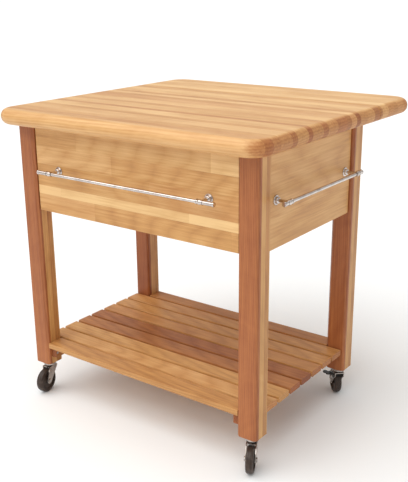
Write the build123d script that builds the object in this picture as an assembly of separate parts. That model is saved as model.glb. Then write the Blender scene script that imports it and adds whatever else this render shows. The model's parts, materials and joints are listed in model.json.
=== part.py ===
import os
from math import cos, radians, sin

from build123d import *

# Wheeled kitchen work table: a thick edge-glued top with a drop leaf at the back,
# four square legs, a deep drawer in the apron, two rails and a slatted shelf.
# +X is the right side, -Y the front, +Z up.  Millimetres.

# Driving sizes of the whole table
width = 904.0              # top, side to side
height = 902.0             # floor to the face of the top
frame_depth = 550.0        # over the legs, front to back
front_overhang = 58.0      # top in front of the front legs
side_overhang = 38.0       # top beyond the legs at each side
leaf_setback = 24.0        # leaf seam behind the rear legs
leaf_depth = 234.0
caster_height = 98.0       # floor to the foot of the legs

# Top and leaf
top_thickness = 45.0
corner_radius = 60.0       # in plan
edge_flat = 1.0            # flat left in the middle of the rounded edge
seam_gap = 2.0
seam_chamfer = 1.5

# Legs and aprons
leg_size = 60.0
leg_chamfer = 7.0
foot_chamfer = 1.5
board = 19.0               # thickness of aprons and drawer front
apron_height = 254.0
apron_recess = 9.0         # behind the outer faces of the legs
tenon_length = 14.0
tenon_thickness = 9.0
tenon_shoulder = 20.0
joinery_gap = 0.1
rail_height = 22.0         # flat rail over the drawer
rail_depth = 28.0
cleat_size = 24.0
cleat_end_gap = 5.0

# Drawer
drawer_gap = 2.5           # around the drawer front
drawer_length = 440.0
drawer_side_height = 190.0
drawer_side = 14.0
drawer_floor = 6.0
drawer_floor_rise = 10.0   # floor above the lower edge of the sides
groove = 5.0
drawer_lift = 14.0         # box above the lower edge of the drawer front

# Telescopic slides, three nested channels a side
slide_width = 13.0
slide_height = 45.0
slide_length = 450.0
slide_sheet = 1.5
slide_clearance = 0.3
slide_rise = 88.0          # slide centre above the lower edge of the aprons
spacer_height = 60.0

# Rails with turned posts
rail_radius = 5.0
rail_drop = 127.0          # rail centre below the top's underside
rail_standoff = 39.0
front_post_spacing = 526.0
front_rail_overhang = 44.0
side_post_spacing = 366.0
side_rail_overhang = 27.0
rosette_radius = 13.0
rosette_thickness = 3.0
dome_radius = 9.0
dome_height = 7.0
neck_radius = 4.5
ball_radius = 7.5
sleeve_radius = 6.2
sleeve_half = 10.0
rim_radius = 7.2
rim_width = 2.0
cap_radius = 5.9
cap_bead_radius = 6.9
cap_bead_width = 6.0
bore_gap = 0.05
post_screw_radius = 2.0
post_screw_depth = 12.0
post_screw_head_radius = 4.5
post_screw_head = 2.5

# Shelf
slat_count = 9
slat_width = 53.0
slat_thickness = 18.0
slat_chamfer = 2.0
shelf_height = 172.0       # top of the slats
shelf_front_inset = 4.0    # outer slats behind the leg faces
slat_end_inset = 8.0       # long slats inside the leg faces
bearer_width = 20.0
bearer_height = 30.0
bearer_end_inset = 14.0

# Wood screws
screw_radius = 2.0
screw_head_radius = 4.0
screw_head = 2.0
screw_hole_gap = 0.1
top_bite = 22.0            # into the top from cleats and rail
hinge_bite = 26.0          # into the top and leaf from the hinges
panel_bite = 12.0          # into the side aprons
end_bite = 20.0            # into end grain
screw_edge = 12.0          # nearest screw to an edge

# Leaf hinges, which lock with the leaf up
hinge_positions = (-300.0, 0.0, 300.0)
hinge_drop = 0.3           # barrel below the underside of the top
hinge_barrel_radius = 4.7
hinge_pin_radius = 2.5
hinge_pin_gap = 0.05
hinge_width = 46.0
hinge_knuckle = 15.0       # half length of the leaf's middle knuckle
hinge_knuckle_gap = 0.3
hinge_sheet = 3.0
hinge_apron_plate = 120.0  # height of the plate on the back apron
hinge_gusset = 60.0
hinge_leaf_length = 150.0
hinge_flange = 10.0
hinge_flange_start = 14.0
hinge_barrel_clearance = 1.0

# Casters
wheel_radius = 37.5
wheel_width = 21.0
wheel_round = 5.0
hub_radius = 11.0
hub_width = 23.4
web_recess = 4.5
rim_inner_radius = 28.5
caster_trail = 24.0
axle_radius = 4.0
axle_gap = 0.1
axle_head_radius = 6.5
axle_head = 3.0
fork_sheet = 2.5
fork_inside = 24.0
fork_crown_bottom = 78.5
fork_crown = 2.5
fork_boss_radius = 10.0
fork_front = 17.0
fork_back = 19.0
race_radius = 16.0
race_top = 86.0
cap_race_radius = 19.0
cap_race_top = 92.5
race_gap = 0.3
kingpin_radius = 5.0
kingpin_gap = 0.1
kingpin_head_radius = 8.5
kingpin_head = 3.5
stem_neck_radius = 8.0
stem_radius = 5.5
stem_length = 40.0
socket_radius = 8.0
socket_flange_radius = 14.0
socket_flange = 2.5
socket_depth = 46.0

# Brake levers on the two rear casters
brake_pivot_trail = -6.0
brake_pivot_height = 69.0
brake_hub_radius = 4.2
brake_stub_radius = 2.5
brake_gap = 0.1
brake_ear_radius = 8.0
brake_plate = 3.0
brake_plate_gap = 0.5
brake_pad_radius = 7.5
brake_pad_height = 62.0
brake_pad_thickness = 3.5
brake_pad_reach = 7.0      # first lobe's centre outside the lever plate
brake_pad_trail = 24.0
brake_lobe_spacing = 12.0
brake_lobe_step = 6.0      # second lobe further out than the first
brake_pad_neck = 5.0       # half width of the neck that joins lobes and lever

# Direction that each caster trails, degrees from +X
caster_turn = {
    "front_left": -82.0,
    "front_right": -65.0,
    "rear_left": 112.0,
    "rear_right": 133.0,
}
braked_casters = ("rear_left", "rear_right")

# Places worked out from the sizes
depth = front_overhang + frame_depth + leaf_setback + leaf_depth
front_y = -depth / 2
leg_front = front_y + front_overhang
leg_rear = leg_front + frame_depth
seam_y = leg_rear + leaf_setback
rear_y = seam_y + leaf_depth
leg_outer = width / 2 - side_overhang
leg_inner = leg_outer - leg_size
top_under = height - top_thickness
apron_bottom = top_under - apron_height
apron_outer = leg_outer - apron_recess
apron_inner = apron_outer - board
panel_front = leg_front + apron_recess
panel_back = panel_front + board
back_outer = leg_rear - apron_recess
rail_z = top_under - rail_drop
slide_z = apron_bottom + slide_rise
slide_front = panel_back + drawer_gap
bearer_top = shelf_height - slat_thickness
slat_pitch = (frame_depth - 2 * shelf_front_inset - slat_width) / (slat_count - 1)
hinge_z = top_under - hinge_drop - hinge_barrel_radius

leg_centres = {
    "front_left": (-leg_outer + leg_size / 2, leg_front + leg_size / 2),
    "front_right": (leg_outer - leg_size / 2, leg_front + leg_size / 2),
    "rear_left": (-leg_outer + leg_size / 2, leg_rear - leg_size / 2),
    "rear_right": (leg_outer - leg_size / 2, leg_rear - leg_size / 2),
}

os.makedirs("parts", exist_ok=True)


def save(name, *solids):
    shape = solids[0] if len(solids) == 1 else Compound(children=list(solids))
    export_step(shape, f"parts/{name}.step")


def block(x0, x1, y0, y1, z0, z1):
    centre = Pos((x0 + x1) / 2, (y0 + y1) / 2, (z0 + z1) / 2)
    return centre * Box(abs(x1 - x0), abs(y1 - y0), abs(z1 - z0))


def cylinder_x(radius, x0, x1, y=0.0, z=0.0):
    return Pos((x0 + x1) / 2, y, z) * Rot(0, 90, 0) * Cylinder(radius, abs(x1 - x0))


def cylinder_y(radius, y0, y1, x=0.0, z=0.0):
    return Pos(x, (y0 + y1) / 2, z) * Rot(90, 0, 0) * Cylinder(radius, abs(y1 - y0))


def cylinder_z(radius, z0, z1, x=0.0, y=0.0):
    return Pos(x, y, (z0 + z1) / 2) * Cylinder(radius, abs(z1 - z0))


def flip(shape):
    return mirror(shape, about=Plane.YZ)


# A screw that points up or sideways, with the head at its start
def screw(start, direction, length, grow=0.0):
    place = Plane(origin=start, z_dir=direction)
    head = Pos(0, 0, screw_head / 2) * Cylinder(screw_head_radius + grow, screw_head)
    shank = Pos(0, 0, length / 2) * Cylinder(screw_radius + grow, length)
    return place.location * (head + shank)


def drill(shape, screws):
    for start, direction, length in screws:
        shape -= screw(start, direction, length, screw_hole_gap)
    return shape


def make_screws(screws):
    return [screw(*one) for one in screws]


# ---- top and leaf -------------------------------------------------------------

def rounded_slab(y_square, y_round):
    half = width / 2
    middle = (y_square + y_round) / 2
    slab = block(-half, half, y_square, y_round, top_under, height)
    corners = [
        e for e in slab.edges().filter_by(Axis.Z)
        if (e.center().Y - middle) * (y_round - middle) > 0
    ]
    slab = fillet(corners, corner_radius)
    outline = [
        e for e in slab.edges()
        if abs(e.center().Z - top_under - top_thickness / 2) > top_thickness / 2 - 0.01
        and abs(e.center().Y - y_square) > 0.01
    ]
    slab = fillet(outline, (top_thickness - edge_flat) / 2)
    upper = [
        e for e in slab.edges()
        if abs(e.center().Y - y_square) < 0.01 and abs(e.center().Z - height) < 0.01
    ]
    return chamfer(upper, seam_chamfer)


top_slab = rounded_slab(seam_y - seam_gap / 2, front_y)
leaf_slab = rounded_slab(seam_y + seam_gap / 2, rear_y)


# ---- leaf hinges --------------------------------------------------------------

# The knuckles of one arm, each joined to the edge of the plate at near
def add_knuckles(arm, x, near, knuckles):
    web_top = hinge_z + hinge_barrel_radius
    for start, end in knuckles:
        arm += cylinder_x(hinge_barrel_radius, x + start, x + end, seam_y, hinge_z)
        arm += block(x + start, x + end, seam_y, near, hinge_z, web_top)
    reach = hinge_width / 2 + 1
    return arm - cylinder_x(hinge_pin_radius + hinge_pin_gap, x - reach, x + reach, seam_y, hinge_z)


# The arm under the leaf: a plate with two stiffening flanges
def leaf_arm(x):
    half = hinge_width / 2
    near = seam_y + hinge_barrel_radius + hinge_barrel_clearance
    far = seam_y + hinge_leaf_length
    plate_z = top_under - hinge_sheet
    arm = block(x - half, x + half, near, far, plate_z, top_under)
    for edge in (-1, 1):
        outside = x + edge * half
        inside = outside - edge * hinge_sheet
        arm += block(outside, inside, seam_y + hinge_flange_start, far, plate_z - hinge_flange, plate_z)
    return add_knuckles(arm, x, near, [(-hinge_knuckle, hinge_knuckle)])


# The fixed bracket: a plate under the top, a plate down the back apron and two gussets
def fixed_bracket(x):
    half = hinge_width / 2
    near = seam_y - hinge_barrel_radius - hinge_barrel_clearance
    plate_z = top_under - hinge_sheet
    face = back_outer + hinge_sheet
    bracket = block(x - half, x + half, back_outer, near, plate_z, top_under)
    bracket += block(x - half, x + half, back_outer, face, top_under - hinge_apron_plate, top_under)
    corners = [(face, plate_z), (near - hinge_sheet, plate_z), (face, plate_z - hinge_gusset)]
    gusset = extrude(Plane.YZ * make_face(Polyline(*corners, close=True)), hinge_sheet)
    for start in (x - half, x + half - hinge_sheet):
        bracket += Pos(start - gusset.bounding_box().min.X, 0, 0) * gusset
    free = hinge_knuckle + hinge_knuckle_gap
    return add_knuckles(bracket, x, near, [(-half, -free), (free, half)])


# Screws up through a plate under the wood
def upward_screws(x, rows):
    start_z = top_under - hinge_sheet - screw_head
    reach = screw_head + hinge_sheet + hinge_bite
    columns = (x - hinge_width / 4, x + hinge_width / 4)
    return [((column, row, start_z), (0, 0, 1), reach) for row in rows for column in columns]


def apron_screws(x):
    start_y = back_outer + hinge_sheet + screw_head
    reach = screw_head + hinge_sheet + panel_bite
    heights = (top_under - hinge_apron_plate + screw_edge, top_under - hinge_apron_plate / 2)
    columns = (x - hinge_width / 4, x + hinge_width / 4)
    return [((column, start_y, z), (0, -1, 0), reach) for z in heights for column in columns]


brackets = []
leaf_arms = []
hinge_pins = []
top_hinge_screws = []
apron_hinge_screws = []
leaf_hinge_screws = []
for hinge_x in hinge_positions:
    first = hinge_flange_start + screw_edge
    last = hinge_leaf_length - screw_edge
    leaf_rows = [seam_y + first, seam_y + (first + last) / 2, seam_y + last]
    bracket_row = (back_outer + hinge_sheet + seam_y - hinge_barrel_radius) / 2
    top_found = upward_screws(hinge_x, [bracket_row])
    apron_found = apron_screws(hinge_x)
    leaf_found = upward_screws(hinge_x, leaf_rows)
    brackets.append(drill(fixed_bracket(hinge_x), top_found + apron_found))
    leaf_arms.append(drill(leaf_arm(hinge_x), leaf_found))
    hinge_pins.append(cylinder_x(hinge_pin_radius, hinge_x - hinge_width / 2, hinge_x + hinge_width / 2,
                                 seam_y, hinge_z))
    top_hinge_screws += top_found
    apron_hinge_screws += apron_found
    leaf_hinge_screws += leaf_found

save("hinge_brackets", *brackets)
save("hinge_leaf_arms", *leaf_arms)
save("hinge_pins", *hinge_pins)
save("hinge_bracket_screws", *make_screws(top_hinge_screws + apron_hinge_screws))
save("hinge_leaf_screws", *make_screws(leaf_hinge_screws))
save("drop_leaf", drill(leaf_slab, leaf_hinge_screws))

# ---- aprons, rail, cleats and spacers -----------------------------------------

span_front = leg_front + leg_size
span_rear = leg_rear - leg_size


# A board with a tenon at both ends, and the mortises that take them
def tenoned(x0, x1, y0, y1, z0, z1, along):
    body = block(x0, x1, y0, y1, z0, z1)
    thin = tenon_thickness / 2
    mid_x = (x0 + x1) / 2
    mid_y = (y0 + y1) / 2
    mid_z = (z0 + z1) / 2
    if z1 - z0 > 2 * tenon_shoulder + tenon_thickness:
        low, high = z0 + tenon_shoulder, z1 - tenon_shoulder
        narrow = thin
    else:
        low, high = mid_z - thin, mid_z + thin
        narrow = min(x1 - x0, y1 - y0) / 3
    gap = joinery_gap
    pockets = []
    for end in (-1, 1):
        if along == "x":
            root = x0 if end < 0 else x1
            tip = root + end * tenon_length
            body += block(root, tip, mid_y - narrow, mid_y + narrow, low, high)
            pockets.append(block(root - end, tip + end * gap, mid_y - narrow - gap, mid_y + narrow + gap,
                                 low - gap, high + gap))
        else:
            root = y0 if end < 0 else y1
            tip = root + end * tenon_length
            body += block(mid_x - narrow, mid_x + narrow, root, tip, low, high)
            pockets.append(block(mid_x - narrow - gap, mid_x + narrow + gap, root - end, tip + end * gap,
                                 low - gap, high + gap))
    return body, pockets


side_apron, side_pockets = tenoned(apron_inner, apron_outer, span_front, span_rear,
                                   apron_bottom, top_under, "y")
back_apron, back_pockets = tenoned(-leg_inner, leg_inner, back_outer - board, back_outer,
                                   apron_bottom, top_under, "x")
rail_y = slide_front
front_rail, rail_pockets = tenoned(-leg_inner, leg_inner, rail_y, rail_y + rail_depth,
                                   top_under - rail_height, top_under, "x")

cleat_front = max(span_front, rail_y + rail_depth) + cleat_end_gap
cleat = block(apron_inner - cleat_size, apron_inner, cleat_front, span_rear - cleat_end_gap,
              top_under - cleat_size, top_under)
spacer = block(leg_inner, apron_inner, span_front, span_rear,
               slide_z - spacer_height / 2, slide_z + spacer_height / 2)

# Screws that hold the top down, from the cleats and the front rail
cleat_start = top_under - cleat_size - screw_head
cleat_reach = screw_head + cleat_size + top_bite
rail_start = top_under - rail_height - screw_head
rail_reach = screw_head + rail_height + top_bite
top_screws = []
for share in (0.15, 0.5, 0.85):
    cleat_y = span_front + share * (span_rear - span_front)
    for side in (-1, 1):
        cleat_x = side * (apron_inner - cleat_size / 2)
        top_screws.append(((cleat_x, cleat_y, cleat_start), (0, 0, 1), cleat_reach))
    rail_x = (2 * share - 1) * leg_inner
    top_screws.append(((rail_x, rail_y + rail_depth / 2, rail_start), (0, 0, 1), rail_reach))

# Screws through the spacers into the side aprons
spacer_screws = []
for share in (0.2, 0.8):
    spacer_y = span_front + share * (span_rear - span_front)
    for side in (-1, 1):
        # below the slide, with the head let into the spacer's inner face
        spot = (side * leg_inner, spacer_y, slide_z - spacer_height / 2 + screw_head_radius + 1)
        spacer_screws.append((spot, (side, 0, 0), apron_inner - leg_inner + panel_bite))

save("top_slab", drill(drill(top_slab, top_hinge_screws), top_screws))
save("back_apron", drill(back_apron, apron_hinge_screws))
save("front_rail", drill(front_rail, top_screws))
save("top_cleats", drill(cleat, top_screws), drill(flip(cleat), top_screws))
save("frame_screws", *make_screws(top_screws + spacer_screws))

# ---- rails with turned posts --------------------------------------------------

# Drawn in front of a panel face at y = 0, with the rail along X and the panel behind.
# The foot of a post is turned about Y: rosette, dome and neck.
def post_foot():
    edge_round = rosette_thickness / 2
    dome_round = dome_height / 2
    tip = -rosette_thickness - dome_height
    neck_end = -rail_standoff + rail_radius
    rim = Polyline((0, 0), (rosette_radius, 0), (rosette_radius, edge_round - rosette_thickness))
    rosette = RadiusArc(rim @ 1, (rosette_radius - edge_round, -rosette_thickness), edge_round)
    step = Polyline(rosette @ 1, (dome_radius, -rosette_thickness), (dome_radius, tip + dome_round))
    dome = RadiusArc(step @ 1, (dome_radius - dome_round, tip), dome_round)
    neck = Polyline(dome @ 1, (neck_radius, tip), (neck_radius, neck_end), (0, neck_end), (0, 0))
    return revolve(make_face([rim, rosette, step, dome, neck]), Axis.Y)


# The head of a post is turned about the rail: ball, short sleeve and a rim at each end.
def post_head():
    bore = rail_radius + bore_gap
    ball_end = (ball_radius**2 - sleeve_radius**2) ** 0.5
    rim_start = sleeve_half - rim_width
    right = [(sleeve_half, bore), (sleeve_half, rim_radius), (rim_start, rim_radius),
             (rim_start, sleeve_radius), (ball_end, sleeve_radius)]
    left = [(-x, y) for x, y in reversed(right)]
    ball = ThreePointArc(right[-1], (0, ball_radius), left[0])
    outline = [Polyline(*right), ball, Polyline(*left), Line(left[-1], right[0])]
    return Pos(0, -rail_standoff, 0) * revolve(make_face(outline), Axis.X)


def post():
    turned = post_foot() + post_head()
    return turned - cylinder_x(rail_radius + bore_gap, -2 * sleeve_half, 2 * sleeve_half, -rail_standoff)


def cap(start, length):
    tube = cylinder_x(cap_radius, start, start + length, -rail_standoff)
    bead = cylinder_x(cap_bead_radius, start + length - cap_bead_width, start + length, -rail_standoff)
    bead = fillet(bead.edges().filter_by(GeomType.CIRCLE), cap_bead_width / 3)
    bore = cylinder_x(rail_radius + bore_gap, start - 1, start + length - cap_bead_width, -rail_standoff)
    return tube + bead - bore


def towel_rail(spacing, overhang):
    half = spacing / 2
    cap_length = overhang - sleeve_half
    rod_end = half + overhang - cap_bead_width - 1
    rod = cylinder_x(rail_radius, -rod_end, rod_end, -rail_standoff)
    right_cap = cap(half + sleeve_half, cap_length)
    bar = [rod, right_cap, flip(right_cap)]
    post_screws = []
    posts = []
    for end in (-1, 1):
        shank_start = board + post_screw_head
        hole = cylinder_y(post_screw_radius + bore_gap, 1, -post_screw_depth - 1)
        posts.append(Pos(end * half, 0, 0) * (post() - hole))
        shank = cylinder_y(post_screw_radius, shank_start, -post_screw_depth)
        head = cylinder_y(post_screw_head_radius, shank_start, board)
        post_screws.append(Pos(end * half, 0, 0) * (shank + head))
    return bar, posts, post_screws


def post_holes(spacing):
    reach = board + 1
    return [cylinder_y(post_screw_radius + 0.2, -1, reach, end * spacing / 2) for end in (-1, 1)]


front_place = Pos(0, panel_front, rail_z)
side_place = Pos(apron_outer, (span_front + span_rear) / 2, rail_z) * Rot(0, 0, 90)
front_bar, front_posts, front_screws = towel_rail(front_post_spacing, front_rail_overhang)
side_bar, side_posts, side_screws = towel_rail(side_post_spacing, side_rail_overhang)

save("front_bar", *[front_place * piece for piece in front_bar])
save("front_bar_post_left", front_place * front_posts[0])
save("front_bar_post_right", front_place * front_posts[1])
save("front_bar_screws", *[front_place * piece for piece in front_screws])
save("side_bar", *[side_place * piece for piece in side_bar])
save("side_bar_post_front", side_place * side_posts[0])
save("side_bar_post_rear", side_place * side_posts[1])
save("side_bar_screws", *[side_place * piece for piece in side_screws])

right_apron = drill(side_apron, spacer_screws)
left_apron = drill(flip(side_apron), spacer_screws)
for hole in post_holes(side_post_spacing):
    right_apron -= side_place * hole
save("side_apron_right", right_apron)
save("side_apron_left", left_apron)

# The right spacer is cut clear of the heads of the rail's screws
right_spacer = drill(spacer, spacer_screws)
for end in (-1, 1):
    access = cylinder_y(post_screw_head_radius + 1, board - 1, board + apron_inner - leg_inner + 1)
    right_spacer -= side_place * Pos(end * side_post_spacing / 2, 0, 0) * access
save("slide_spacer_right", right_spacer)
save("slide_spacer_left", drill(flip(spacer), spacer_screws))

# ---- drawer -------------------------------------------------------------------

drawer_outer = leg_inner - slide_width - slide_clearance
drawer_inner = drawer_outer - drawer_side
drawer_low = apron_bottom + drawer_lift
drawer_high = drawer_low + drawer_side_height
drawer_end = panel_back + drawer_length
floor_low = drawer_low + drawer_floor_rise
floor_high = floor_low + drawer_floor
gap = joinery_gap

front_left_edge = -leg_inner + drawer_gap
drawer_front = block(front_left_edge, -front_left_edge, panel_front, panel_back,
                     apron_bottom, top_under - drawer_gap)
side_board = block(drawer_inner, drawer_outer, panel_back - groove, drawer_end, drawer_low, drawer_high)
back_board = block(-drawer_inner + gap, drawer_inner - gap, drawer_end - drawer_side, drawer_end,
                   floor_high + gap, drawer_high)
floor_board = block(-drawer_inner - groove, drawer_inner + groove, panel_back - groove,
                    drawer_end, floor_low, floor_high)
floor_slot = block(-drawer_inner - groove - gap, drawer_inner + groove + gap, panel_back - groove - gap,
                   drawer_end + 1, floor_low - gap, floor_high + gap)
dado = block(drawer_inner - gap, drawer_outer + gap, panel_back - groove - gap, panel_back + 1,
             drawer_low - gap, drawer_high + gap)

drawer_front -= floor_slot + dado + flip(dado)
for hole in post_holes(front_post_spacing):
    drawer_front -= front_place * hole

# Screws through the sides into the back of the drawer
drawer_screws = []
for share in (0.25, 0.75):
    screw_z = floor_high + share * (drawer_high - floor_high)
    for side in (-1, 1):
        # heads let flush into the side
        spot = (side * drawer_outer, drawer_end - drawer_side / 2, screw_z)
        drawer_screws.append((spot, (-side, 0, 0), drawer_side + end_bite))

side_board -= floor_slot
save("drawer_front", drawer_front)
save("drawer_side_right", drill(side_board, drawer_screws))
save("drawer_side_left", drill(flip(side_board), drawer_screws))
save("drawer_back", drill(back_board, drawer_screws))
save("drawer_bottom", floor_board)
save("drawer_screws", *make_screws(drawer_screws))


# ---- drawer slides ------------------------------------------------------------

# A channel whose web lies between two distances from the leg's face.
def channel(web_start, web_end, lip, half_height):
    inside = half_height - slide_sheet
    web = (leg_inner - web_start, leg_inner - web_end)
    ends = (slide_front, slide_front + slide_length)
    member = block(*web, *ends, slide_z - half_height, slide_z + half_height)
    edges = (leg_inner - min(web_start, lip), leg_inner - max(web_end, lip))
    for side in (-1, 1):
        member += block(*edges, *ends, slide_z + side * inside, slide_z + side * half_height)
    return member


outer_half = slide_height / 2
middle_half = outer_half - slide_sheet - slide_clearance
inner_half = middle_half - slide_sheet - slide_clearance
middle_web = slide_sheet + slide_clearance
slide_outer = channel(0, slide_sheet, slide_width - 2, outer_half)
slide_middle = channel(middle_web, middle_web + slide_sheet, slide_width - 1, middle_half)
inner_lip = middle_web + slide_sheet + 1
slide_inner = channel(slide_width + slide_clearance - slide_sheet, slide_width + slide_clearance,
                      inner_lip, inner_half)
for name, member in (("outer", slide_outer), ("middle", slide_middle), ("inner", slide_inner)):
    save(f"slide_{name}_right", member)
    save(f"slide_{name}_left", flip(member))

# ---- shelf --------------------------------------------------------------------

bearer = block(leg_inner - bearer_width, leg_inner, leg_front + bearer_end_inset,
               leg_rear - bearer_end_inset, bearer_top - bearer_height, bearer_top)
slat_screws = []
long_slats = []
end_slats = []
first_slat = leg_front + shelf_front_inset + slat_width / 2
for number in range(slat_count):
    slat_y = first_slat + number * slat_pitch
    between_legs = number in (0, slat_count - 1)
    slat_end = leg_inner if between_legs else leg_outer - slat_end_inset
    slat = block(-slat_end, slat_end, slat_y - slat_width / 2, slat_y + slat_width / 2,
                 bearer_top, shelf_height)
    slat = chamfer(slat.edges().filter_by(Axis.X), slat_chamfer)
    found = []
    for side in (-1, 1):
        spot = (side * (leg_inner - bearer_width / 2), slat_y, bearer_top - bearer_height - screw_head)
        found.append((spot, (0, 0, 1), screw_head + bearer_height + panel_bite))
    slat_screws += found
    (end_slats if between_legs else long_slats).append(drill(slat, found))

# Screws through each bearer into the legs, heads let flush
bearer_screws = []
for centre_x, centre_y in leg_centres.values():
    side = 1 if centre_x > 0 else -1
    for shift in (-leg_size / 6, leg_size / 6):
        spot = (side * (leg_inner - bearer_width), centre_y + shift, bearer_top - bearer_height / 2)
        bearer_screws.append((spot, (side, 0, 0), bearer_width + end_bite))

all_shelf_screws = slat_screws + bearer_screws
save("shelf_slats", *long_slats)
save("shelf_end_slats", *end_slats)
save("shelf_bearer_right", drill(bearer, all_shelf_screws))
save("shelf_bearer_left", drill(flip(bearer), all_shelf_screws))
save("shelf_screws", *make_screws(all_shelf_screws))

# ---- legs ---------------------------------------------------------------------

pockets = side_pockets + back_pockets + rail_pockets
pockets += [flip(pocket) for pocket in side_pockets]
for name, (centre_x, centre_y) in leg_centres.items():
    half = leg_size / 2
    leg = block(centre_x - half, centre_x + half, centre_y - half, centre_y + half, caster_height, top_under)
    leg = chamfer(leg.edges().filter_by(Axis.Z), leg_chamfer)
    leg = chamfer(leg.faces().sort_by(Axis.Z)[0].edges(), foot_chamfer)
    for pocket in pockets:
        leg -= pocket
    leg -= cylinder_z(socket_radius + bore_gap, caster_height - 1, caster_height + socket_depth + gap,
                      centre_x, centre_y)
    save(f"leg_{name}", drill(leg, bearer_screws))

# ---- casters ------------------------------------------------------------------

# Each is drawn with its stem at the origin, trailing along +X, with its axle along Y.
def caster_place(name):
    return Pos(*leg_centres[name], 0) * Rot(0, 0, caster_turn[name])


def make_socket():
    socket = cylinder_z(socket_radius, caster_height, caster_height + socket_depth)
    socket += cylinder_z(socket_flange_radius, caster_height - socket_flange, caster_height)
    return socket - cylinder_z(stem_radius + bore_gap, caster_height - socket_flange - 1,
                               caster_height + stem_length + 1)


def make_stem():
    race = cylinder_z(cap_race_radius, race_top + race_gap, cap_race_top)
    race = fillet(race.edges().filter_by(GeomType.CIRCLE).sort_by(Axis.Z)[-1], 3)
    stem = race + cylinder_z(stem_neck_radius, cap_race_top, caster_height - socket_flange)
    stem += cylinder_z(stem_radius, cap_race_top, caster_height + stem_length)
    head_top = fork_crown_bottom - race_gap
    stem += cylinder_z(kingpin_radius, head_top - 1, race_top + 1)
    return stem + cylinder_z(kingpin_head_radius, head_top - kingpin_head, head_top)


# Outline of a cheek, from above: crown edge, axle boss and, on a braked caster, the lever's ear
def cheek_outline(braked):
    boss = Pos(caster_trail, wheel_radius) * Circle(fork_boss_radius)
    foot = Pos((fork_back - fork_front) / 2, fork_crown_bottom) * Rectangle(fork_front + fork_back, 2 * fork_crown)
    outline = make_hull(boss.edges() + foot.edges())
    if braked:
        ear = Pos(brake_pivot_trail, brake_pivot_height) * Circle(brake_ear_radius)
        outline += make_hull(ear.edges() + foot.edges())
    return outline


def make_fork(braked):
    inside = fork_inside / 2
    outside = inside + fork_sheet
    crown_top = fork_crown_bottom + fork_crown
    fork = block(-fork_front, fork_back, -outside, outside, fork_crown_bottom, crown_top)
    fork += cylinder_z(race_radius, crown_top, race_top)
    cheek = extrude(Plane.XZ * cheek_outline(braked), fork_sheet)
    thick = cheek.bounding_box()
    for side in (-1, 1):
        start = inside if side > 0 else -outside
        fork += Pos(0, start - thick.min.Y, 0) * cheek
        axle_hole = cylinder_y(axle_radius + bore_gap, -outside - 1, outside + 1, caster_trail, wheel_radius)
        fork -= axle_hole
    fork -= cylinder_z(kingpin_radius + kingpin_gap, fork_crown_bottom - 1, race_top + 1)
    if braked:
        x, z = brake_pivot_trail, brake_pivot_height
        fork -= cylinder_y(brake_hub_radius + brake_gap, 0, outside + 1, x, z)
        fork -= cylinder_y(brake_stub_radius + brake_gap, -outside - 1, 0, x, z)
    return fork


def make_wheel():
    half = wheel_width / 2
    wheel = cylinder_y(wheel_radius, -half, half)
    wheel = fillet(wheel.edges().filter_by(GeomType.CIRCLE), wheel_round)
    ring = cylinder_y(rim_inner_radius, -half, -half + web_recess) - cylinder_y(hub_radius, -half, half)
    wheel = wheel - ring - mirror(ring, about=Plane.XZ)
    wheel += cylinder_y(hub_radius, -hub_width / 2, hub_width / 2)
    wheel -= cylinder_y(axle_radius + axle_gap, -hub_width, hub_width)
    return Pos(caster_trail, 0, wheel_radius) * wheel


def make_axle():
    outside = fork_inside / 2 + fork_sheet
    axle = cylinder_y(axle_radius, -outside - 2, outside + 2)
    axle += cylinder_y(axle_head_radius, -outside - axle_head, -outside)
    nut = Plane.XZ * RegularPolygon(axle_head_radius, 6)
    nut = extrude(nut, axle_head)
    axle += Pos(0, outside - nut.bounding_box().min.Y, 0) * nut
    return Pos(caster_trail, 0, wheel_radius) * axle


def make_brake():
    outside = fork_inside / 2 + fork_sheet
    x, z = brake_pivot_trail, brake_pivot_height
    plate_in = outside + brake_plate_gap
    plate_out = plate_in + brake_plate
    hub_end = fork_inside / 2 - 1
    lever = cylinder_y(brake_hub_radius, -hub_end, plate_in + 1, x, z)
    lever += cylinder_y(brake_stub_radius, -outside - 1, -hub_end, x, z)
    pad_middle = brake_pad_trail + brake_lobe_spacing / 2
    ear = Pos(x, z) * Circle(brake_ear_radius - 1)
    arm_end = Pos(pad_middle, brake_pad_height) * Circle(brake_pad_thickness + 1)
    arm = extrude(Plane.XZ * make_hull(ear.edges() + arm_end.edges()), brake_plate)
    lever += Pos(0, plate_in - arm.bounding_box().min.Y, 0) * arm
    pad_low = brake_pad_height - brake_pad_thickness / 2
    pad_high = pad_low + brake_pad_thickness
    lobe_y = plate_out + brake_pad_reach
    pad = block(pad_middle - brake_pad_neck, pad_middle + brake_pad_neck, plate_in, lobe_y, pad_low, pad_high)
    for shift in (0, 1):
        lobe_x = brake_pad_trail + shift * brake_lobe_spacing
        pad += cylinder_z(brake_pad_radius, pad_low, pad_high, lobe_x, lobe_y + shift * brake_lobe_step)
    return lever + pad


sockets = []
stems = []
for name in leg_centres:
    place = caster_place(name)
    braked = name in braked_casters
    sockets.append(place * make_socket())
    stems.append(place * make_stem())
    save(f"caster_fork_{name}", place * make_fork(braked))
    save(f"caster_wheel_{name}", place * make_wheel())
    save(f"caster_axle_{name}", place * make_axle())
    if braked:
        save(f"brake_lever_{name}", place * make_brake())
save("caster_sockets", *sockets)
save("caster_stems", *stems)
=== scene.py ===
import bmesh
import bpy
import json
from math import cos, pi, radians, sin
from mathutils import Matrix, Vector


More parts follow.
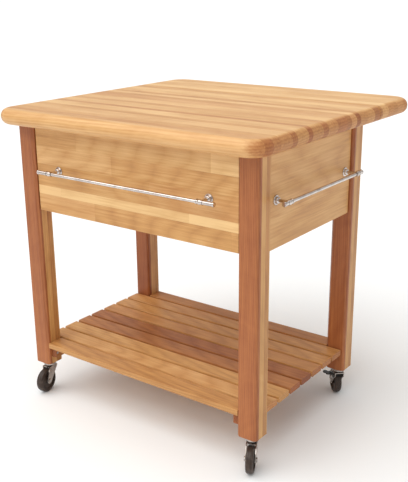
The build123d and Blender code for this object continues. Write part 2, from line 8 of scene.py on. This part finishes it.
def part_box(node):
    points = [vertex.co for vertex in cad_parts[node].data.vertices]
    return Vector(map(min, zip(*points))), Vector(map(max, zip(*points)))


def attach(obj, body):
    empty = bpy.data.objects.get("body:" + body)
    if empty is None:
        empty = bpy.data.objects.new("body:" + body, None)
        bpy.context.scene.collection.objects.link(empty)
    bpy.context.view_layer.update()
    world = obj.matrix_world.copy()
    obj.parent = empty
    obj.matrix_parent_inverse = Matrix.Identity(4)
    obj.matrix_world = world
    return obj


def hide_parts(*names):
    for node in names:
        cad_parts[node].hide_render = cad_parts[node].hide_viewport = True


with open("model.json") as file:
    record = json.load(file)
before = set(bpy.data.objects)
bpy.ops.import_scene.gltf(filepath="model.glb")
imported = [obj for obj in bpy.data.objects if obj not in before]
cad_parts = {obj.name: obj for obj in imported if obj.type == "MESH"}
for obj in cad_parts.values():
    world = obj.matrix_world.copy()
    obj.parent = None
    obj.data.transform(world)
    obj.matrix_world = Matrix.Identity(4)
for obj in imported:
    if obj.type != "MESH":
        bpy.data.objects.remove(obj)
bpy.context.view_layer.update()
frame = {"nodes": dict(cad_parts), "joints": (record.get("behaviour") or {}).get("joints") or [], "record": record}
nodes = frame["nodes"]
print("frame loaded,", len(nodes), "nodes")


class Wire:
    # a socket that can be used in sums
    def __init__(self, finish, socket):
        self.finish = finish
        self.socket = socket

    def sum(self, operation, first, second):
        return self.finish.node("ShaderNodeMath", {"operation": operation}, {0: first, 1: second})

    def __add__(self, other):
        return self.sum("ADD", self, other)

    def __radd__(self, other):
        return self.sum("ADD", other, self)

    def __sub__(self, other):
        return self.sum("SUBTRACT", self, other)

    def __rsub__(self, other):
        return self.sum("SUBTRACT", other, self)

    def __mul__(self, other):
        return self.sum("MULTIPLY", self, other)

    def __rmul__(self, other):
        return self.sum("MULTIPLY", other, self)

    def __truediv__(self, other):
        return self.sum("DIVIDE", self, other)

    def __pow__(self, other):
        return self.sum("POWER", self, other)


class Finish:
    def __init__(self, name):
        self.material = bpy.data.materials.new(name)
        self.material.use_nodes = True
        self.tree = self.material.node_tree
        self.tree.nodes.clear()

    def node(self, kind, settings=None, values=None, out=0):
        made = self.tree.nodes.new(kind)
        for key, value in (settings or {}).items():
            if key == "stops":
                fillRamp(made.color_ramp, value)
            elif key == "interpolation":
                made.color_ramp.interpolation = value
            else:
                setattr(made, key, value)
        for key, value in (values or {}).items():
            if isinstance(value, Wire):
                self.tree.links.new(value.socket, made.inputs[key])
            else:
                made.inputs[key].default_value = value
        return Wire(self, made.outputs[out]) if len(made.outputs) else made

    def place(self, centre=(0, 0, 0), turn=(0, 0, 0)):
        spot = self.node("ShaderNodeTexCoord", out="Object")
        return self.node("ShaderNodeMapping", {"vector_type": "TEXTURE"},
                         {"Vector": spot, "Location": centre, "Rotation": turn})

    def parts(self, vector):
        return [self.node("ShaderNodeSeparateXYZ", values={0: vector}, out=axis) for axis in range(3)]

    def pack(self, x, y, z):
        return self.node("ShaderNodeCombineXYZ", values={0: x, 1: y, 2: z})

    def noise(self, vector, scale=1.0, detail=2.0, roughness=0.5, distortion=0.0):
        return self.node("ShaderNodeTexNoise", None, {
            "Vector": vector, "Scale": scale, "Detail": detail,
            "Roughness": roughness, "Distortion": distortion})

    def ramp(self, factor, stops, interpolation="LINEAR"):
        return self.node("ShaderNodeValToRGB", {"interpolation": interpolation, "stops": stops},
                         {"Fac": factor})

    def blend(self, factor, first, second, mode="MIX"):
        return self.node("ShaderNodeMix", {"data_type": "RGBA", "blend_type": mode},
                         {0: factor, 6: first, 7: second}, out=2)

    def step(self, value, low, high):
        return self.node("ShaderNodeMapRange", {"interpolation_type": "SMOOTHSTEP"},
                         {0: value, 1: low, 2: high})

    def bump(self, height, distance, strength=1.0):
        return self.node("ShaderNodeBump", None,
                         {"Height": height, "Distance": distance, "Strength": strength})

    def surface(self, values):
        shader = self.node("ShaderNodeBsdfPrincipled", None, values)
        self.node("ShaderNodeOutputMaterial", None, {"Surface": shader})
        return self.material


def fillRamp(ramp, stops):
    while len(ramp.elements) < len(stops):
        ramp.elements.new(1.0)
    for element, (position, colour) in zip(ramp.elements, stops):
        element.position = position
        element.color = (*colour[:3], 1.0)


def paint(name, material):
    mesh = nodes[name].data if isinstance(name, str) else name.data
    mesh.materials.clear()
    mesh.materials.append(material)


# every board is (width in mm, tone 0 dark to 1 pale, redness 0 to 1)
woodTones = {
    "yellow": [(0.0, (0.155, 0.052, 0.016)), (0.35, (0.40, 0.175, 0.052)),
               (0.65, (0.62, 0.33, 0.115)), (1.0, (0.85, 0.56, 0.26))],
    "red": [(0.0, (0.110, 0.026, 0.008)), (0.35, (0.28, 0.078, 0.024)),
            (0.65, (0.44, 0.155, 0.050)), (1.0, (0.64, 0.30, 0.115))],
}


def woodFinish(name, look):
    wood = Finish(name)
    axes = {"X": 0, "Y": 1, "Z": 2}
    fibreAxis, stackAxis = axes[look["fibre"]], axes[look["stack"]]
    thirdAxis = 3 - fibreAxis - stackAxis
    spot = wood.place(look.get("centre", (0, 0, 0)))
    coords = wood.parts(spot)
    along, across, third = coords[fibreAxis], coords[stackAxis], coords[thirdAxis]

    # boards glued side by side: red, green and blue of the ramp are tone, redness and seed
    widths = [board[0] / 1000 for board in look["boards"]]
    total = sum(widths)
    stops, edge = [], 0.0
    for count, (boardWidth, tone, redness) in enumerate(look["boards"]):
        stops.append((edge / total, (tone, redness, (count + 1) / (len(widths) + 1))))
        edge += boardWidth / 1000
    level = (across - look["start"]) / total
    card = wood.ramp(level, stops, "CONSTANT")
    nextCard = wood.ramp(level + look.get("glue", 0.0005) / total, stops, "CONSTANT")
    tone, redness, seed = [wood.node("ShaderNodeSeparateColor", None, {0: card}, out=n) for n in range(3)]
    nextSeed = wood.node("ShaderNodeSeparateColor", None, {0: nextCard}, out=2)
    glueLine = wood.node("ShaderNodeMath", {"operation": "COMPARE"}, {0: seed, 1: nextSeed, 2: 0.002})
    glueLine = 1.0 - glueLine

    # shorter lengths jointed end to end inside each board
    length = look.get("length", 0.0)
    if length:
        run = along / length + seed * 13.7
        piece = wood.node("ShaderNodeMath", {"operation": "FLOOR"}, {0: run})
        endJoint = 1.0 - wood.step(run - piece, 0.0, 0.0012 / length)
    else:
        piece, endJoint = 0.0, 0.0
    chance = wood.node("ShaderNodeTexWhiteNoise", {"noise_dimensions": "2D"},
                       {"Vector": wood.pack(seed * 57.3, piece, 0.0)}, out=1)
    dice = [wood.node("ShaderNodeSeparateColor", None, {0: chance}, out=n) for n in range(3)]

    # growth rings round a heart that lies outside the board and leans a little
    drift = wood.noise(wood.pack(along * 2.4 + seed * 9.0, across * 11.0, third * 11.0), detail=2.0) - 0.5
    lean = look.get("lean", 0.12)
    heartSide = across - look["start"] - seed * total + (dice[0] - 0.5) * 0.06
    heartSide = heartSide + along * (dice[1] - 0.5) * lean
    heartDepth = third + 0.02 + dice[2] * 0.07 + along * (dice[0] - 0.5) * lean * 1.6
    reach = (heartSide * heartSide + heartDepth * heartDepth) ** 0.5 + drift * look.get("warp", 0.016)
    turn = reach / look.get("ringGap", 0.0065)
    beat = wood.node("ShaderNodeMath", {"operation": "PINGPONG"}, {0: turn, 1: 0.5}) * 2.0
    ring = beat ** 1.6

    # fibres, pores and slow drift of colour
    fibre = wood.noise(wood.pack(along * 6.0 + seed * 5.0, across * 190.0, third * 190.0),
                       detail=4.0, roughness=0.62)
    pores = wood.noise(wood.pack(along * 55.0, across * 1100.0, third * 1100.0), detail=2.0)
    cloud = wood.noise(wood.pack(along * 1.7 + seed * 31.0, across * 10.0, third * 10.0), detail=2.0)
    ripple = wood.noise(wood.pack(along * 34.0 + drift * 9.0, across * 9.0 + seed * 7.0, third * 9.0),
                        detail=1.0)

    grainNormal = wood.parts(wood.node("ShaderNodeTexCoord", out="Normal"))[fibreAxis]
    endGrain = wood.step(wood.node("ShaderNodeMath", {"operation": "ABSOLUTE"}, {0: grainNormal}), 0.15, 0.75)

    contrast = look.get("contrast", 1.0)
    shade = 0.5 + (tone - 0.5) * (contrast + endGrain * look.get("endContrast", 0.5))
    shade = shade + (dice[2] - 0.5) * look.get("spread", 0.2)
    shade = shade + (ring - 0.45) * look.get("ringDepth", -0.13)
    shade = shade + (fibre - 0.5) * look.get("fibreDepth", 0.55)
    shade = shade + (cloud - 0.5) * look.get("cloudDepth", 0.35)
    shade = shade + (ripple - 0.5) * look.get("rippleDepth", 0.14)
    shade = shade - wood.step(pores, 0.60, 0.78) * 0.10
    shade = shade - endGrain * look.get("endDark", 0.12)
    shade = shade - glueLine * 0.12 - endJoint * 0.10
    shade = shade + look.get("lift", 0.0)
    red = redness + (cloud - 0.5) * 0.5 + (dice[1] - 0.5) * look.get("redSpread", 0.25) + endGrain * 0.3
    red = wood.step(red, 0.0, 1.0)
    colour = wood.blend(red, wood.ramp(shade, woodTones["yellow"]), wood.ramp(shade, woodTones["red"]))

    height = fibre * 0.55 + pores * 0.5 + ring * 0.15 - glueLine * 0.5 - endJoint * 0.4
    gloss = 0.42 + (fibre - 0.5) * 0.22 + (cloud - 0.5) * 0.12 + endGrain * 0.14
    return wood.surface({
        "Base Color": colour,
        "Roughness": gloss + look.get("matt", 0.0),
        "Normal": wood.bump(height, look.get("relief", 0.00035), 0.55),
        "Coat Weight": look.get("coat", 0.06),
        "Coat Roughness": 0.22,
        "Specular IOR Level": 0.32,
    })


topStaves = {
    "fibre": "X", "stack": "Y", "start": -0.433, "lean": 0.04, "ringGap": 0.0075,
    "contrast": 0.55, "endContrast": 0.05, "spread": 0.06, "endDark": 0.22, "lift": 0.24,
    "boards": [
        (33, 0.58, 0.30), (27, 0.40, 0.45), (28, 0.52, 0.30), (56, 0.62, 0.20), (24, 0.36, 0.40),
        (52, 0.68, 0.15), (22, 0.38, 0.40), (55, 0.54, 0.25), (26, 0.40, 0.35), (50, 0.58, 0.22),
        (56, 0.52, 0.30), (22, 0.36, 0.40), (32, 0.80, 0.10), (22, 0.32, 0.45), (44, 0.60, 0.20),
        (46, 0.66, 0.18), (20, 0.38, 0.35), (17, 0.52, 0.30),
        (12, 0.44, 0.25), (40, 0.84, 0.00), (36, 0.60, 0.10), (28, 0.50, 0.20), (44, 0.72, 0.10),
        (36, 0.50, 0.20), (38, 0.60, 0.15),
    ],
}

print("woods: shader ready")


frontPanelBoards = {
    "fibre": "X", "stack": "Z", "start": 0.600, "length": 0.46, "lean": 0.16, "ringGap": 0.0085,
    "spread": 0.16, "lift": 0.12, "ringDepth": -0.12, "rippleDepth": 0.06,
    "boards": [(54, 0.50, 0.22), (26, 0.84, 0.02), (64, 0.50, 0.22), (51, 0.58, 0.15), (70, 0.66, 0.06)],
}
sidePanelBoards = {
    "fibre": "Y", "stack": "Z", "start": 0.600, "lean": 0.13, "ringGap": 0.011, "warp": 0.03,
    "spread": 0.06, "lift": 0.15, "ringDepth": -0.12, "rippleDepth": 0.05,
    "boards": [(84, 0.50, 0.25), (120, 0.58, 0.18), (70, 0.52, 0.28)],
}
backPanelBoards = {
    "fibre": "X", "stack": "Z", "start": 0.600, "length": 0.52, "lean": 0.18, "ringGap": 0.008,
    "spread": 0.16, "lift": 0.04,
    "boards": [(62, 0.55, 0.20), (48, 0.45, 0.30), (74, 0.62, 0.12), (40, 0.50, 0.25), (50, 0.58, 0.18)],
}
innerBoards = {
    "fibre": "Y", "stack": "Z", "start": 0.588, "length": 0.0, "lift": 0.16, "coat": 0.0, "matt": 0.16,
    "boards": [(90, 0.60, 0.05), (80, 0.56, 0.10), (120, 0.62, 0.05)],
}
innerCrossBoards = {
    "fibre": "X", "stack": "Z", "start": 0.588, "length": 0.0, "lift": 0.16, "coat": 0.0, "matt": 0.16,
    "boards": [(90, 0.60, 0.05), (80, 0.56, 0.10), (120, 0.62, 0.05)],
}
slatBoards = {
    "fibre": "X", "stack": "Y", "start": -0.375, "lean": 0.10, "ringGap": 0.007, "spread": 0.20,
    "glue": 0.0, "lift": 0.02,
    "boards": [(61, 0.60, 0.20), (61, 0.64, 0.15), (61, 0.66, 0.10), (61, 0.52, 0.50), (61, 0.48, 0.55),
               (61, 0.52, 0.48), (61, 0.56, 0.38), (61, 0.54, 0.30), (64, 0.52, 0.40)],
}
bearerBoards = {
    "fibre": "Y", "stack": "X", "start": -0.45, "ringGap": 0.007, "glue": 0.0,
    "boards": [(450, 0.50, 0.40), (450, 0.46, 0.45)],
}


def legLook(frontY, first):
    return {
        "fibre": "Z", "stack": "Y", "start": frontY, "lean": 0.05, "ringGap": 0.006, "spread": 0.0,
        "ringDepth": -0.10, "redSpread": 0.0, "endDark": 0.25,
        "boards": [(14, first, 1.0), (20, 0.60, 0.10), (14, 0.50, 0.35), (14, 0.56, 0.15)],
    }


paint("top_slab", woodFinish("top staves", topStaves))
paint("drop_leaf", nodes["top_slab"].data.materials[0])
paint("drawer_front", woodFinish("front panel boards", frontPanelBoards))
sideWood = woodFinish("side panel boards", sidePanelBoards)
paint("side_apron_left", sideWood)
paint("side_apron_right", sideWood)
paint("back_apron", woodFinish("back panel boards", backPanelBoards))
innerWood = woodFinish("drawer side boards", innerBoards)
crossWood = woodFinish("drawer cross boards", innerCrossBoards)
for name in ("drawer_side_left", "drawer_side_right", "drawer_bottom", "top_cleats",
             "slide_spacer_left", "slide_spacer_right"):
    paint(name, innerWood)
for name in ("drawer_back", "front_rail"):
    paint(name, crossWood)
slatWood = woodFinish("shelf slats", slatBoards)
paint("shelf_slats", slatWood)
paint("shelf_end_slats", slatWood)
bearerWood = woodFinish("shelf bearers", bearerBoards)
paint("shelf_bearer_left", bearerWood)
paint("shelf_bearer_right", bearerWood)
legTones = {"leg_front_left": 0.52, "leg_front_right": 0.50, "leg_rear_left": 0.44, "leg_rear_right": 0.48}
for name, first in legTones.items():
    low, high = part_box(name)
    paint(name, woodFinish(name + " wood", legLook(low.y, first)))
print("woods: done")

bodyOf = {node: body for body, members in frame["record"]["behaviour"]["bodies"].items() for node in members}
jointOf = {joint["name"]: joint for joint in frame["joints"]}


def finishPiece(name, mesh, finish, node):
    bmesh.ops.recalc_face_normals(mesh, faces=mesh.faces)
    data = bpy.data.meshes.new(name)
    mesh.to_mesh(data)
    mesh.free()
    piece = bpy.data.objects.new(name, data)
    bpy.context.scene.collection.objects.link(piece)
    data.materials.append(finish)
    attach(piece, bodyOf[node])
    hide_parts(node)
    return piece


# the node's own solid with its loose triangles joined and its long outer arrises rounded over
def easeEdges(node, look):
    mesh = bmesh.new()
    mesh.from_mesh(nodes[node].data)
    bmesh.ops.remove_doubles(mesh, verts=mesh.verts, dist=0.00002)
    bmesh.ops.dissolve_limit(mesh, angle_limit=radians(0.5), verts=mesh.verts, edges=mesh.edges)
    arrises = [edge for edge in mesh.edges if len(edge.link_faces) == 2 and edge.is_convex
               and edge.calc_length() > look["shortest"] and edge.calc_face_angle() > radians(60)]
    bmesh.ops.bevel(mesh, geom=arrises, affect="EDGES", offset=look["round"], offset_type="OFFSET",
                    segments=look["steps"], profile=0.5, material=-1, clamp_overlap=True)
    piece = finishPiece(node + "_eased", mesh, nodes[node].data.materials[0], node)
    piece.data.shade_smooth()
    piece.data.set_sharp_from_angle(angle=radians(50))
    flats = piece.modifiers.new("flat faces", "WEIGHTED_NORMAL")  # keeps wide faces from shading as bent
    flats.mode = "FACE_AREA"
    flats.weight = 100
    flats.keep_sharp = True
    return piece


def metalFinish(name, look):
    metal = Finish(name)
    spot = metal.place()
    smudge = metal.noise(spot, 38.0, 3.0)
    fine = metal.noise(spot, 900.0, 2.0)
    shade = metal.blend(metal.step(smudge, 0.3, 0.75), look["clean"], look["dull"])
    rough = look["rough"] + (smudge - 0.5) * look["smudge"] + (fine - 0.5) * look["smudge"] * 0.5
    return metal.surface({
        "Base Color": shade, "Metallic": 1.0, "Roughness": rough,
        "Normal": metal.bump(fine, look["relief"], 0.3),
    })


chromeLook = {"clean": (0.70, 0.65, 0.62, 1), "dull": (0.50, 0.44, 0.41, 1), "rough": 0.10,
              "smudge": 0.08, "relief": 0.00002}
zincLook = {"clean": (0.52, 0.48, 0.45, 1), "dull": (0.34, 0.30, 0.27, 1), "rough": 0.26,
            "smudge": 0.20, "relief": 0.00005}
steelLook = {"clean": (0.60, 0.61, 0.63, 1), "dull": (0.46, 0.47, 0.48, 1), "rough": 0.34,
             "smudge": 0.22, "relief": 0.00006}
chrome = metalFinish("polished chrome", chromeLook)
zinc = metalFinish("bright zinc plate", zincLook)
steel = metalFinish("plain steel", steelLook)


def rubberFinish(name, look):
    rubber = Finish(name)
    spot = rubber.place()
    dust = rubber.noise(spot, 60.0, 4.0, 0.6)
    grit = rubber.noise(spot, 1400.0, 2.0)
    shade = rubber.blend(rubber.step(dust, 0.45, 0.8), look["base"], look["dust"])
    return rubber.surface({
        "Base Color": shade, "Roughness": look["rough"] + (dust - 0.5) * 0.3,
        "Normal": rubber.bump(grit, 0.00008, 0.5), "Specular IOR Level": 0.4,
    })


wheelRubber = rubberFinish("wheel rubber", {"base": (0.040, 0.024, 0.017, 1),
                                             "dust": (0.120, 0.088, 0.070, 1), "rough": 0.42})
leverPlastic = rubberFinish("lever plastic", {"base": (0.016, 0.015, 0.015, 1),
                                               "dust": (0.040, 0.037, 0.035, 1), "rough": 0.38})
for name in nodes:
    if name.startswith(("front_bar", "side_bar")) and not name.endswith("screws"):
        paint(name, chrome)
    elif name.startswith(("caster_fork", "caster_stems", "caster_sockets", "caster_axle")):
        paint(name, zinc)
    elif name.startswith("caster_wheel"):
        paint(name, wheelRubber)
    elif name.startswith("brake"):
        paint(name, leverPlastic)
    elif name.startswith(("slide_outer", "slide_middle", "slide_inner", "hinge")) or name.endswith("screws"):
        paint(name, steel)
print("metals: done")

# easing of each group: rounding radius, bevel steps and shortest edge that is rounded, in metres
easing = {
    "top": {"nodes": ("top_slab", "drop_leaf"), "round": 0.0022, "steps": 3, "shortest": 0.030},
    "legs": {"nodes": tuple(legTones), "round": 0.0026, "steps": 3, "shortest": 0.055},
    "panels": {"nodes": ("drawer_front", "side_apron_left", "side_apron_right", "back_apron"),
               "round": 0.0014, "steps": 2, "shortest": 0.16},
    "slats": {"nodes": ("shelf_slats", "shelf_end_slats"), "round": 0.0022, "steps": 3, "shortest": 0.05},
    "bearers": {"nodes": ("shelf_bearer_left", "shelf_bearer_right"), "round": 0.0012, "steps": 2,
                "shortest": 0.1},
    "forks": {"nodes": tuple("caster_fork_" + corner for corner in
                             ("front_left", "front_right", "rear_left", "rear_right")),
              "round": 0.0005, "steps": 2, "shortest": 0.009},
    "brackets": {"nodes": ("hinge_brackets", "hinge_leaf_arms"), "round": 0.0005, "steps": 2,
                 "shortest": 0.02},
    "inside": {"nodes": ("front_rail", "top_cleats", "drawer_side_left", "drawer_side_right", "drawer_back",
                         "drawer_bottom"), "round": 0.0008, "steps": 2, "shortest": 0.12},
    "levers": {"nodes": ("brake_lever_rear_left", "brake_lever_rear_right"), "round": 0.0005, "steps": 2,
               "shortest": 0.008},
}
for group, look in easing.items():
    for name in look["nodes"]:
        easeEdges(name, look)
    print("eased:", group)

# outline of one half of the wheel from the bore out: (distance from axle, distance from middle)
wheelLook = {
    "outline": [(0.0041, 0.0117), (0.0104, 0.0117), (0.0110, 0.0110), (0.0112, 0.0066), (0.0122, 0.0060),
                (0.0272, 0.0060), (0.0284, 0.0064), (0.0288, 0.0096), (0.0298, 0.0105), (0.0322, 0.0105),
                (0.0345, 0.0100), (0.0362, 0.0086), (0.0371, 0.0066), (0.0374, 0.0044), (0.0367, 0.0040),
                (0.0367, 0.0034), (0.0375, 0.0030)],
    "steps": 72,
}


def turnWheel(corner):
    joint = jointOf["wheel_spin_" + corner]
    mesh = bmesh.new()
    half = wheelLook["outline"]
    outline = half + [(reach, -side) for reach, side in reversed(half)]
    verts = [mesh.verts.new((reach, side, 0)) for reach, side in outline]
    edges = [mesh.edges.new((verts[n], verts[(n + 1) % len(verts)])) for n in range(len(verts))]
    bmesh.ops.spin(mesh, geom=verts + edges, cent=(0, 0, 0), axis=(0, 1, 0), dvec=(0, 0, 0),
                   angle=2 * pi, steps=wheelLook["steps"], use_merge=True, use_normal_flip=False,
                   use_duplicate=False)
    bmesh.ops.remove_doubles(mesh, verts=mesh.verts, dist=0.000005)
    turned = Vector((0, 1, 0)).rotation_difference(Vector(joint["axis"])).to_matrix().to_4x4()
    bmesh.ops.transform(mesh, matrix=Matrix.Translation(joint["pos_m"]) @ turned, verts=mesh.verts)
    name = "caster_wheel_" + corner
    piece = finishPiece(name + "_turned", mesh, wheelRubber, name)
    for face in piece.data.polygons:
        face.use_smooth = True
    piece.data.set_sharp_from_angle(angle=radians(35))


for corner in ("front_left", "front_right", "rear_left", "rear_right"):
    turnWheel(corner)
print("wheels: done")


cameraLook = {"place": (1.4037, -1.9311, 1.2495), "yaw": 36.485, "pitch": 18.007, "roll": 0.513,
              "lens": 71.48}
yaw, pitch, roll = (radians(cameraLook[key]) for key in ("yaw", "pitch", "roll"))
ahead = Vector((-sin(yaw) * cos(pitch), cos(yaw) * cos(pitch), -sin(pitch)))
level = Vector((cos(yaw), sin(yaw), 0))
above = level.cross(ahead)
toRight = level * cos(roll) - above * sin(roll)
toTop = above * cos(roll) + level * sin(roll)
turned = Matrix((toRight, toTop, -ahead)).transposed().to_4x4()
lensData = bpy.data.cameras.new("studio camera")
lensData.sensor_fit = "HORIZONTAL"
lensData.sensor_width = 36.0
lensData.lens = cameraLook["lens"]
lensData.clip_end = 200.0
studioCamera = bpy.data.objects.new("studio camera", lensData)
studioCamera.matrix_world = Matrix.Translation(cameraLook["place"]) @ turned
bpy.context.scene.collection.objects.link(studioCamera)
bpy.context.scene.camera = studioCamera

lightLook = {"sky": 0.62, "skyTint": (1.0, 0.985, 0.96), "sun": 2.3, "sunSpread": 75.0,
             "sunFrom": (-0.22, -0.42, 0.88), "sunTint": (1.0, 0.985, 0.955)}
world = bpy.data.worlds.new("studio")
bpy.context.scene.world = world
world.use_nodes = True
world.node_tree.nodes["Background"].inputs[0].default_value = (*lightLook["skyTint"], 1)
world.node_tree.nodes["Background"].inputs[1].default_value = lightLook["sky"]
sunData = bpy.data.lights.new("soft key", "SUN")
sunData.energy = lightLook["sun"]
sunData.angle = radians(lightLook["sunSpread"])
sunData.color = lightLook["sunTint"]
sun = bpy.data.objects.new("soft key", sunData)
sun.rotation_euler = Vector(lightLook["sunFrom"]).to_track_quat("Z", "Y").to_euler()
bpy.context.scene.collection.objects.link(sun)
bpy.context.scene.view_settings.view_transform = "Standard"


def floorFinish():
    paper = Finish("studio floor")
    cloudy = paper.noise(paper.place(), 0.8, 2.0)
    shade = paper.blend(cloudy, (0.885, 0.905, 0.925, 1), (0.915, 0.935, 0.955, 1))
    return paper.surface({"Base Color": shade, "Roughness": 0.9})


floorMesh = bmesh.new()
bmesh.ops.create_grid(floorMesh, x_segments=8, y_segments=8, size=60)
floorData = bpy.data.meshes.new("studio floor")
floorMesh.to_mesh(floorData)
floorMesh.free()
floor = bpy.data.objects.new("studio floor", floorData)
bpy.context.scene.collection.objects.link(floor)
paint(floor, floorFinish())
print("stage: done")
